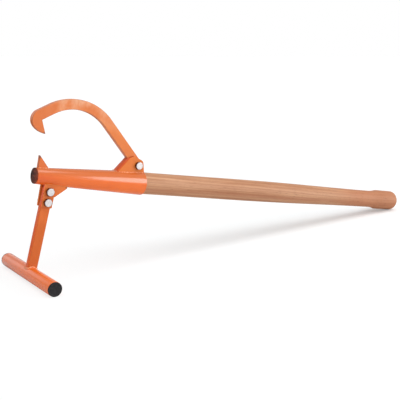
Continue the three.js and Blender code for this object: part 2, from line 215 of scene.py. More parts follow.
def turned_about_y(points, angle):
    """Points turned about the y axis: x takes cos and sin of x and z, z takes -sin and cos."""
    x, y, z = points[..., 0], points[..., 1], points[..., 2]
    across, up = math.cos(angle), math.sin(angle)
    return np.stack([x * across + z * up, y, z * across - x * up], axis=-1)


def from_tool(points):
    """Points of the tool's frame, in the frame of the solids."""
    return turned_about_y(points, tool_tilt) + tool_origin


def from_leg(points):
    """Points of the leg's frame, whose z runs up the leg and whose origin is on the tube's axis."""
    return from_tool(turned_about_y(points, LEG_LEAN) + np.array([LEG_ROOT, 0, 0]))


def tube_radius(station):
    """The tube's outside radius at a station, which grows evenly from its front to its rear."""
    return TUBE_FRONT + (TUBE_REAR - TUBE_FRONT) * station / TUBE_LENGTH


def camera():
    """A perspective camera at the photograph's place, turned by yaw, pitch and roll."""
    yaw, pitch, roll = (math.radians(a) for a in (CAMERA_YAW, CAMERA_PITCH, CAMERA_ROLL))
    ahead = Vector((
        math.sin(yaw) * math.cos(pitch),
        math.cos(yaw) * math.cos(pitch),
        -math.sin(pitch),
    ))
    level = Vector((math.cos(yaw), -math.sin(yaw), 0))
    upright = level.cross(ahead)
    right = level * math.cos(roll) + upright * math.sin(roll)
    up = upright * math.cos(roll) - level * math.sin(roll)
    data = bpy.data.cameras.new("camera")
    data.lens = CAMERA_LENS
    data.sensor_width = SENSOR
    data.clip_start = 0.05
    data.clip_end = 200
    made = bpy.data.objects.new("camera", data)
    turn = Matrix((right, up, -ahead)).transposed()
    made.matrix_world = Matrix.Translation(CAMERA_PLACE) @ turn.to_4x4()
    bpy.context.scene.collection.objects.link(made)
    bpy.context.scene.camera = made


camera()


class Wire:
    """A socket that can be used in sums: each operator adds a Math node behind it."""

    def __init__(self, paint, socket):
        self.paint = paint
        self.socket = socket

    def _math(self, operation, *values):
        return self.paint.node("ShaderNodeMath", {"operation": operation}, dict(enumerate(values)))

    def __add__(self, other):
        return self._math("ADD", self, other)

    def __radd__(self, other):
        return self._math("ADD", other, self)

    def __sub__(self, other):
        return self._math("SUBTRACT", self, other)

    def __rsub__(self, other):
        return self._math("SUBTRACT", other, self)

    def __mul__(self, other):
        return self._math("MULTIPLY", self, other)

    def __rmul__(self, other):
        return self._math("MULTIPLY", other, self)

    def __truediv__(self, other):
        return self._math("DIVIDE", self, other)

    def __rtruediv__(self, other):
        return self._math("DIVIDE", other, self)

    def __pow__(self, other):
        return self._math("POWER", self, other)

    def __rpow__(self, other):
        return self._math("POWER", other, self)

    def step(self, low, high):
        """0 below low, 1 above high and a smooth rise between them."""
        settings = {"interpolation_type": "SMOOTHSTEP"}
        return self.paint.node("ShaderNodeMapRange", settings, {0: self, 1: low, 2: high})


class Paint:
    """A new material, or a new world, and the nodes that make it."""

    def __init__(self, name, kind="materials"):
        self.owner = getattr(bpy.data, kind).new(name)
        self.owner.use_nodes = True
        self.tree = self.owner.node_tree
        self.tree.nodes.clear()

    def node(self, kind, settings=None, values=None, out=0):
        """Adds a node: its settings first, then the values or links of its sockets."""
        made = self.tree.nodes.new(kind)
        for key, value in (settings or {}).items():
            if key == "stops":
                self._stops(made.color_ramp, value)
            else:
                setattr(made, key, value)
        for key, value in (values or {}).items():
            if isinstance(value, Wire):
                self.tree.links.new(value.socket, made.inputs[key])
            else:
                made.inputs[key].default_value = value
        return Wire(self, made.outputs[out]) if made.outputs else None

    @staticmethod
    def _stops(ramp, stops):
        while len(ramp.elements) < len(stops):
            ramp.elements.new(1)
        for element, (place, colour) in zip(ramp.elements, stops):
            element.position = place
            element.color = colour

    def place(self):
        """Position on the object."""
        return self.node("ShaderNodeTexCoord", out="Object")

    def mapped(self, place, location=(0, 0, 0), rotation=(0, 0, 0), scale=(1, 1, 1)):
        values = {"Vector": place, "Location": location, "Rotation": rotation, "Scale": scale}
        return self.node("ShaderNodeMapping", None, values)

    def in_frame(self, origin, tilt):
        """Position in a frame whose origin is given and whose axes are turned about y."""
        shift = turned_about_y(-origin, -tilt)
        return self.mapped(self.place(), tuple(shift), (0, -tilt, 0))

    def in_tool(self):
        return self.in_frame(tool_origin, tool_tilt)

    def in_leg(self):
        return self.in_frame(from_leg(np.zeros(3)), tool_tilt + LEG_LEAN)

    def split(self, place):
        """The x, y and z of a position."""
        first = self.node("ShaderNodeSeparateXYZ", None, {0: place})
        return [Wire(self, output) for output in first.socket.node.outputs]

    def joined(self, x, y, z):
        return self.node("ShaderNodeCombineXYZ", None, {0: x, 1: y, 2: z})

    def distance(self, place, point):
        """How far a position is from a point."""
        settings = {"operation": "DISTANCE"}
        return self.node("ShaderNodeVectorMath", settings, {0: place, 1: point}, "Value")

    def noise(self, place, scale, detail, roughness=0.5):
        values = {"Vector": place, "Scale": scale, "Detail": detail, "Roughness": roughness}
        return self.node("ShaderNodeTexNoise", None, values, "Fac")

    def mix(self, share, first, second):
        """A blend of two colours."""
        values = {0: share, 6: first, 7: second}
        return self.node("ShaderNodeMix", {"data_type": "RGBA"}, values, 2)

    def clouded(self, cloud, dark, light, deeper):
        """A colour between two shades, with each overlay, a mask and a colour, laid over it. Several overlays are
        painted shade or painted light.
        """
        tint = self.ramp(cloud, [(0.30, dark), (0.70, light)])
        for mask, colour in deeper:
            tint = self.mix(mask(self), tint, colour)
        return tint

    def ramp(self, value, stops):
        return self.node("ShaderNodeValToRGB", {"stops": stops}, {0: value}, "Color")

    def bump(self, height, depth, strength=1.0):
        values = {"Height": height, "Distance": depth, "Strength": strength}
        return self.node("ShaderNodeBump", None, values, "Normal")

    def finish(self, values):
        """A Principled shader with its sockets' values and links, as the surface."""
        shader = self.node("ShaderNodeBsdfPrincipled", None, values)
        self.node("ShaderNodeOutputMaterial", None, {"Surface": shader})
        return self.owner


def screen(red, green, blue):
    """A colour given as 0 to 255 screen values, in linear light."""
    shares = [value / 255 for value in (red, green, blue)]
    return (*[s / 12.92 if s <= 0.04045 else ((s + 0.055) / 1.055) ** 2.4 for s in shares], 1.0)


# Dark brown for the points of the tooth, the beak and the near plate's gusset: painted shade at these tips.
TIP_SHADE_BROWN = screen(92, 62, 54)


def in_fold(paint):
    """1 on the bracket's web and inside its fold, whose darker red is painted shade."""
    y = paint.split(paint.place())[1]
    outer, inner = FOLD_HALF
    return (y * y).step(outer ** 2, inner ** 2)


def on_cheek_tops(paint):
    """1 on the sheared tops of the bracket's cheeks, which rise along a line beside the arm. The dark red laid
    there is a painted shadow.
    """
    x, _, z = paint.split(paint.in_tool())
    return (z - CHEEK_TOP_SLOPE * x).step(*CHEEK_TOP)


def on_plate_front(paint):
    """1 on the front edge of a leg plate, which runs down the leg and slightly back. The colour laid there is
    painted light: a paler lip, a painted highlight, on the far plate and a redder strip, painted shade, on the
    near plate.
    """
    x, _, z = paint.split(paint.in_leg())
    return (x + PLATE_FRONT_SLOPE * z).step(*PLATE_FRONT)


def on_leg_front(paint):
    """1 on the front face of the leg. The redder orange laid there is painted light on that shaded face."""
    return paint.split(paint.in_leg())[0].step(*LEG_FRONT)


def on_lower_leg(paint):
    """1 on the leg's lower part, below its plates."""
    return paint.split(paint.in_leg())[2].step(*LOWER_LEG)


def at_tube_front(paint):
    """Strongest at the tube's front end, falling to 0 along it."""
    return 0.7 * paint.split(paint.in_tool())[0].step(*TUBE_FRONT_END)


def on_tube_back(paint):
    """1 on the back of the tube, falling to 0 down its sides. The darker orange laid there is painted shade."""
    return paint.split(paint.in_tool())[2].step(*TUBE_BACK)


def tube_coat(paint):
    """More coat on the back and the sides of the tube than on its belly."""
    return 0.30 + 0.42 * paint.split(paint.in_tool())[2].step(*TUBE_SIDES)


def enamel(name, dark, light, coat, shine=0.5, deeper=()):
    """Orange enamel between two shades, glossier with more coat and shine: faint cloudy patches and
    the fine orange peel of a sprayed coat. The coat is a number, or a function of the paint."""
    paint = Paint(name)
    place = paint.place()
    cloud = paint.noise(place, 14, 3)
    peel = paint.noise(place, 900, 2)
    return paint.finish({
        "Base Color": paint.clouded(cloud, dark, light, deeper),
        "Roughness": 0.22 + 0.08 * cloud,
        "Specular IOR Level": shine,
        "Coat Weight": coat(paint) if callable(coat) else coat,
        "Coat Roughness": 0.15,
        "Normal": paint.bump(peel, 0.00006, 0.5),
    })


def tipped_enamel(name, dark, light, tip, worn, deeper=()):
    """Enamel darkened round a point towards a dark brown, which is painted shade at the tip; worn is the share of
    that brown at the point.
    """
    paint = Paint(name)
    place = paint.place()
    cloud = paint.noise(place, 14, 3)
    speck = paint.noise(place, 420, 3)
    away = paint.distance(place, tip) + 4 * MM * (speck - 0.5)
    # Painted shade: darker brown round the point.
    tip_shade = 1.0 - away.step(*TIP_SHADE_REACH)
    tint = paint.clouded(cloud, dark, light, deeper)
    return paint.finish({
        "Base Color": paint.mix(tip_shade * worn, tint, TIP_SHADE_BROWN),
        "Roughness": 0.26 + 0.18 * tip_shade,
        "Specular IOR Level": 0.35,
        "Coat Weight": 0.2 - 0.2 * tip_shade,
        "Coat Roughness": 0.16,
        "Normal": paint.bump(speck * tip_shade, 0.0002, 0.5),
    })


def weld_enamel():
    """Enamel over a weld: small pale spots, which are painted glints, glossier than the deeper orange between
    them.
    """
    paint = Paint("weld_enamel")
    place = paint.place()
    # The pale spots are painted glints on the weld.
    painted_glint = paint.noise(place, 360, 3, 0.6)
    return paint.finish({
        "Base Color": paint.ramp(painted_glint, [(0.40, screen(214, 98, 30)), (0.62, screen(240, 160, 108))]),
        "Roughness": 0.30 - 0.14 * painted_glint,
        "Coat Weight": 0.6,
        "Coat Roughness": 0.10,
        "Normal": paint.bump(painted_glint, 0.0003, 0.6),
    })


def worn_edge(name, kept, rubbed, least):
    """Broken edges, where the enamel is thin and rubbed down to brown steel in places, but not on
    the front edges under the tube. The lower the least value of the noise, the more is rubbed."""
    paint = Paint(name)
    place = paint.place()
    patch = paint.noise(place, 70, 3, 0.6)
    fine = paint.noise(place, 500, 2)
    x, _, z = paint.split(paint.in_tool())
    above = z.step(-5 * MM, 5 * MM)
    below = z.step(5 * MM, -5 * MM)
    open_edges = above + x.step(26 * MM, 32 * MM) * below
    worn = (patch + 0.25 * (fine - 0.5)).step(least, least + 0.20) * open_edges
    return paint.finish({
        "Base Color": paint.mix(worn, kept, rubbed),
        "Metallic": 0.25 * worn,
        "Roughness": 0.34 + 0.12 * fine,
        "Specular IOR Level": 0.25,
        "Normal": paint.bump(fine, 0.00006, 0.5),
    })


def hook_sheen_enamel(tip):
    """Enamel on the hook: paler along the upper bend with fine streaks, a painted sheen, deeper round
    the beak, and darkened at its point, which is painted shade."""
    paint = Paint("hook_sheen_enamel")
    tool = paint.in_tool()
    x, _, z = paint.split(tool)
    cloud = paint.noise(paint.mapped(tool, scale=(30, 8, 30)), 1, 3)
    streak = paint.noise(paint.mapped(tool, scale=(260, 30, 90)), 1, 3, 0.6)
    past_beak = x.step(*PAST_BEAK)
    # Painted sheen: paler enamel along the upper bend.
    painted_sheen = z.step(*SHEEN_BEND) * past_beak * cloud.step(0.30, 0.62)
    # Painted shade round the beak's point.
    away = paint.distance(paint.place(), tip) + 6 * MM * (streak - 0.5)
    tip_shade = 1.0 - away.step(*BEAK_SHADE_REACH)
    plain = paint.ramp(cloud, [
        (0.30, screen(214, 108, 28)),
        (0.70, screen(224, 122, 42)),
    ])
    plain = paint.mix((1.0 - past_beak) * 0.6, plain, screen(205, 99, 32))
    pale = paint.ramp(streak, [
        (0.32, screen(220, 150, 105)),
        (0.62, screen(229, 172, 135)),
    ])
    tint = paint.mix(painted_sheen * 0.85, plain, pale)
    return paint.finish({
        "Base Color": paint.mix(tip_shade * 0.85, tint, TIP_SHADE_BROWN),
        "Roughness": 0.34 + 0.14 * painted_sheen + 0.08 * streak,
        "Coat Weight": 0.4,
        "Coat Roughness": 0.22,
        "Normal": paint.bump(streak, 0.00008, 0.5),
    })


def hardwood():
    """Oiled hardwood: growth rings cut lengthwise round a pith below the handle, a mottled figure,
    streaks along the grain, one wandering dark line, flecks and pores, and a browner end."""
    paint = Paint("oiled_hardwood")
    tool = paint.in_tool()
    x, y, z = paint.split(tool)
    bend = paint.noise(paint.mapped(tool, scale=(1.6, 9, 9)), 1, 2) - 0.5
    across = y + 30 * MM + 10 * MM * bend
    up = z + 85 * MM + 12 * MM * bend + 0.012 * x
    ring = (across * across + up * up) ** 0.5
    rings = paint.noise(paint.joined(x * 0.35, ring * 230, 0.0), 1, 2, 0.6)
    streak = paint.noise(paint.mapped(tool, scale=(7, 210, 210)), 1, 3, 0.6)
    pores = paint.noise(paint.mapped(tool, scale=(55, 1500, 1500)), 1, 1)
    patch = paint.noise(paint.mapped(tool, scale=(3.5, 16, 16)), 1, 2)
    figure = paint.noise(paint.mapped(tool, scale=(14, 75, 75)), 1, 3, 0.6)
    fleck = paint.noise(paint.mapped(tool, scale=(48, 240, 240)), 1, 2).step(0.62, 0.74)
    tone = 0.50 * rings + 0.30 * streak + 0.20 * patch + 0.14 * (figure - 0.5)
    body = paint.ramp(tone, [
        (0.32, screen(150, 96, 63)),
        (0.46, screen(177, 124, 89)),
        (0.56, screen(190, 140, 105)),
        (0.70, screen(203, 156, 122)),
    ])
    wander = paint.noise(paint.mapped(tool, scale=(5, 0, 0)), 1, 2) - 0.5
    line = (z + 10 * MM + 14 * MM * wander) / (7 * MM)
    heart = (1.0 - line * line).step(0.0, 1.0)
    body = paint.mix(heart * 0.30, body, screen(150, 82, 50))
    body = paint.mix(x.step(*BROWNER_END) * 0.60, body, screen(182, 114, 76))
    body = paint.mix(fleck * 0.30, body, screen(126, 76, 50))
    pore = pores.step(0.60, 0.74)
    body = paint.mix(pore * 0.40, body, screen(104, 60, 36))
    return paint.finish({
        "Base Color": body,
        "Roughness": 0.52 + 0.16 * streak,
        "Specular IOR Level": 0.4,
        "Normal": paint.bump(streak * 0.6 - pore * 0.5, 0.00025, 0.5),
    })


def black_tint(paint, haze):
    """Black, mottled between two shades."""
    return paint.ramp(haze, [(0.38, screen(16, 16, 20)), (0.64, screen(38, 36, 38))])


def nose_tint(paint, haze):
    """Brown-black, browner towards the near side, mottled, with specks of dust."""
    place = paint.place()
    y = paint.split(place)[1]
    brown = (haze - 9.0 * y).step(0.26, 0.78)
    tint = paint.mix(brown, screen(34, 18, 22), screen(126, 50, 18))
    dust = paint.noise(place, 330, 1).step(0.68, 0.74)
    return paint.mix(dust * 0.5, tint, screen(176, 140, 120))


def moulded_plastic(name, tint):
    """Moulded plastic with a fine grain, whose tint is a function of its haze."""
    paint = Paint(name)
    place = paint.place()
    grain = paint.noise(place, 1500, 2)
    haze = paint.noise(place, 230, 3, 0.6)
    return paint.finish({
        "Base Color": tint(paint, haze),
        "Roughness": 0.5 + 0.2 * haze,
        "Specular IOR Level": 0.3,
        "Normal": paint.bump(grain, 0.00008, 0.5),
    })


def bright_zinc():
    """Zinc plate: pale and duller on the outer faces of heads, nuts and bolt ends, darker and more
    like a mirror on the sides between them, which lie between two distances across the tool. The
    dark brown of the sides is a painted reflection of the shaded plate beside them."""
    paint = Paint("bright_zinc")
    place = paint.place()
    y = paint.split(place)[1]
    side = (y + HEAD_FACE).step(0, FACE_BLEND) * (NUT_FACE - y).step(0, FACE_BLEND)
    cloud = paint.noise(place, 220, 3)
    tint = paint.ramp(cloud, [
        (0.3, screen(212, 207, 208)),
        (0.7, screen(232, 227, 226)),
    ])
    return paint.finish({
        # Dark brown sides: a painted reflection of the shaded orange plate.
        "Base Color": paint.mix(side, tint, screen(112, 76, 68)),
        "Metallic": 0.80 + 0.20 * side,
        "Roughness": 0.34 - 0.14 * side + 0.10 * cloud,
        "Normal": paint.bump(cloud, 0.00004, 0.4),
    })


def points_of(node):
    """The corners of a node's solid."""
    mesh = frame["nodes"][node].data
    points = np.empty(len(mesh.vertices) * 3)
    mesh.vertices.foreach_get("co", points)
    return points.reshape(-1, 3)


tooth_points = points_of("tooth")
tooth_tip = tuple(tooth_points[tooth_points[:, 2].argmax()])
beak_points = points_of("hook")
beak_points = beak_points[beak_points[:, 0] < beak_points[:, 0].min() + BEAK_REACH]
beak_tip = tuple(beak_points[beak_points[:, 2].argmin()])
plate_points = points_of("leg_plate_near")
gusset_tip = tuple(plate_points[plate_points[:, 0].argmax()])

PAINTS = {
    "enamel": enamel("orange_enamel", screen(218, 101, 26), screen(228, 111, 36), 0.5),
    "tube_enamel": enamel("tube_enamel", screen(224, 99, 20), screen(234, 109, 28), tube_coat, 0.4,
                          [(at_tube_front, screen(220, 88, 26)),
                           # The darker orange on the tube's back is painted shade.
                           (on_tube_back, screen(206, 104, 44))]),
    "foot_enamel": enamel("foot_enamel", screen(230, 104, 30), screen(240, 114, 40), 0.55),
    "leg_enamel": enamel("leg_enamel", screen(208, 104, 46), screen(218, 114, 56), 0.1, 0.2,
                         # The leg's redder front face is painted light.
                         [(on_lower_leg, screen(198, 98, 42)), (on_leg_front, screen(226, 98, 42))]),
    # The darker red in the bracket's fold is painted shade.
    "bracket_enamel": enamel("bracket_enamel", screen(216, 116, 53), screen(226, 128, 65), 0.1, 0.2,
                             # The dark red on the cheek tops is a painted shadow.
                             [(in_fold, screen(212, 84, 32)), (on_cheek_tops, screen(176, 60, 20))]),
    "plate_enamel": enamel("plate_enamel", screen(216, 116, 54), screen(226, 128, 66), 0.1, 0.2,
                           # The paler front edge of the far plate is a painted highlight.
                           [(on_plate_front, screen(240, 140, 80))]),
    # The tooth's point is darkened as painted shade.
    "tooth_enamel": tipped_enamel("tooth_enamel", screen(208, 104, 46), screen(218, 114, 56),
                                  tooth_tip, 0.85),
    # The near plate's gusset tip is darkened and its front edge reddened, both as painted shade.
    "gusset_enamel": tipped_enamel("gusset_enamel", screen(212, 106, 42), screen(222, 116, 52),
                                   gusset_tip, 0.6, [(on_plate_front, screen(250, 86, 28))]),
    "weld_enamel": weld_enamel(),
    "hook_sheen_enamel": hook_sheen_enamel(beak_tip),
    "worn_edge": worn_edge("worn_edge", screen(214, 96, 36), screen(134, 90, 68), 0.36),
    # The hook's edges are paler than the other worn edges: wear, and painted light on its shaded underside.
    "hook_edge": worn_edge("hook_edge", screen(208, 112, 62), screen(184, 118, 88), 0.26),
    "handle_wood": hardwood(),
    "plug_plastic": moulded_plastic("black_plastic", black_tint),
    "nose_plastic": moulded_plastic("brown_black_plastic", nose_tint),
    "zinc": bright_zinc(),
}


def grid_faces(rows, columns, loop_rows=False):
    """Quads between the neighbours of a grid of points. Each row is a closed ring of columns, and
    loop_rows also joins the last row to the first."""
    row = np.arange(rows if loop_rows else rows - 1)[:, None]
    column = np.arange(columns)[None, :]
    ahead = (row + 1) % rows
    beside = (column + 1) % columns
    corners = [
        row * columns + column,
        row * columns + beside,
        ahead * columns + beside,
        ahead * columns + column,
    ]
    return np.stack(corners, axis=-1).reshape(-1, 4)


def piece(name, surfaces, slot, stands_for=(), sharp=35, paint=None):
    """One object from (points, faces) surfaces in the frame of the solids. Its doubles are merged,
    which closes seams and poles, and its faces are turned outwards."""
    mesh = bpy.data.meshes.new(name)
    points, faces, count = [], [], 0
    for some_points, some_faces in surfaces:
        points.append(some_points.reshape(-1, 3))
        faces.append(some_faces + count)
        count += len(points[-1])
    mesh.from_pydata(np.concatenate(points).tolist(), [], np.concatenate(faces).tolist())
    work = bmesh.new()
    work.from_mesh(mesh)
    bmesh.ops.remove_doubles(work, verts=work.verts, dist=SEAM_MERGE)
    bmesh.ops.recalc_face_normals(work, faces=work.faces)
    work.to_mesh(mesh)
    work.free()
    settle(name, mesh, slot, "tool", stands_for, sharp, paint)


def settle(name, mesh, slot, body, stands_for, sharp, paint=None):
    """Puts a finished mesh on its body with its paint and its shading."""
    mesh.materials.clear()
    mesh.materials.append(PAINTS[paint or slot])
    mesh.shade_smooth()
    mesh.set_sharp_from_angle(angle=math.radians(sharp))
    made = bpy.data.objects.new(name, mesh)
    bpy.context.scene.collection.objects.link(made)
    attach(made, body)
    if stands_for:
        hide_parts(*stands_for)
    return made


def rounded(corners, steps=6):
    """An outline of (a, b, round) corners in which an arc takes the place of each rounded one. The
    arc touches both sides at round / tan(half the corner's angle) from the corner."""
    places = np.array([corner[:2] for corner in corners])
    outline = []
    for i, (place, (_, _, size)) in enumerate(zip(places, corners)):
        if size == 0:
            outline.append(place[None])
            continue
        back = places[i - 1] - place
        onward = places[(i + 1) % len(places)] - place
        back /= np.linalg.norm(back)
        onward /= np.linalg.norm(onward)
        half = np.arccos(back @ onward) / 2
        middle = (back + onward) / np.linalg.norm(back + onward)
        centre = place + middle * size / np.sin(half)
        start = place + back * size / np.tan(half) - centre
        side = place + onward * size / np.tan(half) - centre
        share = np.linspace(0, 1, steps + 1)[:, None]
        sweep = np.pi - 2 * half
        arc = (start * np.sin((1 - share) * sweep) + side * np.sin(share * sweep)) / np.sin(sweep)
        outline.append(centre + arc)
    return np.concatenate(outline)


def turned(profile, facets, closed=False):
    """A profile of (station, radius) turned round x: a point is the station, then the radius times
    cos and sin of the angle round the axis."""
    station, radius = profile[:, 0], profile[:, 1]
    angle = np.linspace(0, TURN, facets, endpoint=False)
    along = np.repeat(station[:, None], facets, axis=1)
    across = np.outer(radius, np.cos(angle))
    up = np.outer(radius, np.sin(angle))
    return np.stack([along, across, up], axis=-1), grid_faces(len(station), facets, closed)


def laid_across(points, side=-1):
    """Points round x laid round y instead, with x = 0 on the near side for -1, the far for 1."""
    return np.stack([points[..., 1], -side * points[..., 0], points[..., 2]], axis=-1)


def tube_profile(start, front, end, rear, wall, edge):
    """The closed section of an open tube, with its four edges rounded."""
    return rounded([
        (start, front - wall, edge),
        (start, front, edge),
        (end, rear, edge),
        (end, rear - wall, edge),
    ], steps=4)


def socket_tube():
    """Cone between the front and rear radius, open at both ends."""
    profile = tube_profile(0, TUBE_FRONT, TUBE_LENGTH, TUBE_REAR, TUBE_WALL, TUBE_EDGE_ROUND)
    points, faces = turned(profile, TUBE_FACETS, True)
    piece("tapered_tube", [(from_tool(points), faces)], "enamel", ["socket_tube"], paint="tube_enamel")


def foot_tube():
    """A straight tube across the tool."""
    radius = FOOT_RADIUS - FACET_TRIM
    half = FOOT_LENGTH / 2
    profile = tube_profile(-half, radius, half, radius, FOOT_WALL, TUBE_EDGE_ROUND)
    points, faces = turned(profile, FOOT_FACETS, True)
    points = laid_across(points) - np.array([0, 0, LEG_SPAN])
    piece("foot_bar", [(from_leg(points), faces)], "enamel", ["foot_tube"], paint="foot_enamel")


def plug_surface(tube, wall):
    """A hollow plug turned round x: dished face at negative x, rounded flange, plain spigot."""
    face = tube - PLUG_INSET
    spigot = tube - wall - SEAT_GAP
    front = -PLUG_FACE - SEAT_GAP
    profile = rounded([
        (front + PLUG_DISH, 0, 0),
        (front + PLUG_DISH, face - PLUG_DISH_EDGE, PLUG_DISH_ROUND),
        (front, face - PLUG_RIM, PLUG_DISH_ROUND),
        (front, face, PLUG_EDGE),
        (-SEAT_GAP, face, 0),
        (-SEAT_GAP, spigot, 0),
        (PLUG_SPIGOT, spigot, PLUG_SPIGOT_ROUND),
        (PLUG_SPIGOT, spigot - PLUG_WALL, PLUG_SPIGOT_ROUND),
        (PLUG_WALL, spigot - PLUG_WALL, 0),
        (PLUG_WALL, 0, 0),
    ])
    return turned(profile, PLUG_FACETS)


def plugs():
    """The nose plug and the two plugs of the foot bar, each with its dished face outwards."""
    points, faces = plug_surface(TUBE_FRONT, TUBE_WALL)
    piece("nose_cap", [(from_tool(points), faces)], "plug_plastic", ["nose_plug"], paint="nose_plastic")
    for side, name in ((-1, "near"), (1, "far")):
        points, faces = plug_surface(FOOT_RADIUS, FOOT_WALL)
        inward = laid_across(points, side) + np.array([0, side * FOOT_LENGTH / 2, -LEG_SPAN])
        piece(f"foot_cap_{name}", [(from_leg(inward), faces)], "plug_plastic",
              stands_for=[f"foot_plug_{name}"])


def handle_profile():
    """Stations and radii of the handle: a tapered shank, then half cosine waves to the belly and to
    the neck, a quarter wave out to the knob, and an arc at the end."""
    mouth_radius = TUBE_REAR - TUBE_WALL - SEAT_GAP
    end = OVERALL_LENGTH - END_TRIM
    knob = OVERALL_LENGTH - KNOB_LENGTH
    neck = knob - FLARE_LENGTH
    belly = TUBE_LENGTH + BELLY_SHARE * (neck - TUBE_LENGTH)
    start = TUBE_LENGTH - SHANK_LENGTH
    taper = (TUBE_REAR - TUBE_FRONT) / TUBE_LENGTH
    shank_radius = mouth_radius - taper * SHANK_LENGTH
    shank = np.array([
        [start, 0],
        [start, shank_radius - SHANK_CHAMFER],
        [start + SHANK_CHAMFER, shank_radius + taper * SHANK_CHAMFER],
    ])

    def stretch(low, low_radius, high, high_radius, wave, steps=HANDLE_STEPS):
        run = np.arange(steps) / steps
        rise = (1 - np.cos(math.pi * run * wave)) / (2 if wave == 1 else 1)
        station = low + run * (high - low)
        return np.stack([station, low_radius + rise * (high_radius - low_radius)], axis=1)

    angle = np.linspace(math.pi / 2, 0, END_STEPS)
    arc = np.stack([
        end - KNOB_END_ROUND + KNOB_END_ROUND * np.cos(angle),
        KNOB_RADIUS - KNOB_END_ROUND + KNOB_END_ROUND * np.sin(angle),
    ], axis=1)
    flare = KNOB_RADIUS - KNOB_RIDGE / 2
    return np.concatenate([
        shank,
        stretch(TUBE_LENGTH, mouth_radius, belly, BELLY_RADIUS, 1),
        stretch(belly, BELLY_RADIUS, neck, NECK_RADIUS, 1),
        stretch(neck, NECK_RADIUS, knob, flare, 0.5, FLARE_STEPS),
        [[knob, flare], [knob + KNOB_RIDGE, KNOB_RADIUS]],
        arc,
        [[end, 0]],
    ])


def handle():
    """The handle, as its profile turned round the tool's x."""
    points, faces = turned(handle_profile(), HANDLE_FACETS)
    piece("wooden_handle", [(from_tool(points), faces)], "handle_wood", stands_for=["handle"])


def hexagon(angle):
    """Distance from the middle of a hexagon to its side, as the flats' half width over the cosine
    of the angle to the nearest flat, with the corners slightly blunted."""
    sixth = TURN / 6
    off = (angle + sixth / 2) % sixth - sixth / 2
    corner = BOLT_FLATS / 2 / math.cos(sixth / 2)
    return np.minimum(BOLT_FLATS / 2 / np.cos(off), corner - HEX_BLUNT)


def rings(*rows):
    """Rings of points round x. Each row is (station, radius), and either may vary round the ring."""
    angle = np.linspace(0, TURN, BOLT_FACETS, endpoint=False)
    station = np.stack([np.broadcast_to(row[0], angle.shape) for row in rows])
    radius = np.stack([np.broadcast_to(row[1], angle.shape) for row in rows])
    return np.stack([station, radius * np.cos(angle), radius * np.sin(angle)], axis=-1)


def hex_sides(low, high, chamfer_low, chamfer_high):
    """The rows of a hexagon's side. At a chamfered end a cone meets the side, at a station that
    lies further in where the side is further out."""
    side = hexagon(np.linspace(0, TURN, BOLT_FACETS, endpoint=False))
    flat = BOLT_FLATS / 2 * HEX_FLAT_SHARE
    drop = (side - flat) * math.tan(HEX_CONE)
    rows = []
    if chamfer_low:
        rows += [(low, flat), (low + drop, side)]
    else:
        rows += [(low, side)]
    if chamfer_high:
        rows += [(high - drop, side), (high, flat)]
    else:
        rows += [(high, side)]
    return rows


def bolt_surface(stack_half):
    """Head, plain shank and thread, round x with the head at negative x. The thread's radius falls
    by a triangle wave of the station and the angle together, which winds it into a helix."""
    seat = stack_half + SEAT_GAP
    nut_in = seat + WASHER_THICKNESS + SEAT_GAP
    end = nut_in + NUT_HEIGHT + BOLT_END
    angle = np.linspace(0, TURN, BOLT_FACETS, endpoint=False)
    station = np.arange(nut_in, end, BOLT_PITCH / THREAD_STEPS)
    phase = (station[:, None] / BOLT_PITCH + angle / TURN) % 1
    depth = THREAD_SHARE * BOLT_PITCH * (1 - np.abs(2 * phase - 1))
    tip = np.clip((station - (end - BOLT_TIP_LENGTH)) / BOLT_TIP_LENGTH, 0, 1)[:, None]
    radius = np.minimum(BOLT_RADIUS - depth, BOLT_RADIUS - tip * BOLT_TIP_DEPTH)
    thread = list(zip(station, radius))
    head = hex_sides(-seat - BOLT_HEAD, -seat, True, False)
    core = BOLT_RADIUS - BOLT_TIP_DEPTH
    rows = [(-seat - BOLT_HEAD, 0), *head, (-seat, BOLT_RADIUS), (nut_in - BOLT_PITCH, BOLT_RADIUS)]
    rows += [*thread, (end, core), (end, 0)]
    return rings(*rows), grid_faces(len(rows), BOLT_FACETS)


def nut_surface(stack_half):
    """A nut round x, beyond the washer: a hexagon chamfered at both ends, with a lipped bore."""
    low = stack_half + 2 * SEAT_GAP + WASHER_THICKNESS
    high = low + NUT_HEIGHT
    bore = BOLT_RADIUS + SEAT_GAP
    rows = [(low + NUT_LIP, bore), (low, bore + NUT_LIP), *hex_sides(low, high, True, True)]
    rows += [(high, bore + NUT_LIP), (high - NUT_LIP, bore)]
    return rings(*rows), grid_faces(len(rows), BOLT_FACETS, True)


def washer_surface(stack_half):
    """A flat washer round x, as a turned section with rounded edges."""
    seat = stack_half + SEAT_GAP
    width = WASHER_RADIUS - BOLT_RADIUS - SEAT_GAP
    profile = tube_profile(seat, WASHER_RADIUS, seat + WASHER_THICKNESS, WASHER_RADIUS, width,
                           WASHER_EDGE_ROUND)
    return turned(profile, BOLT_FACETS, True)


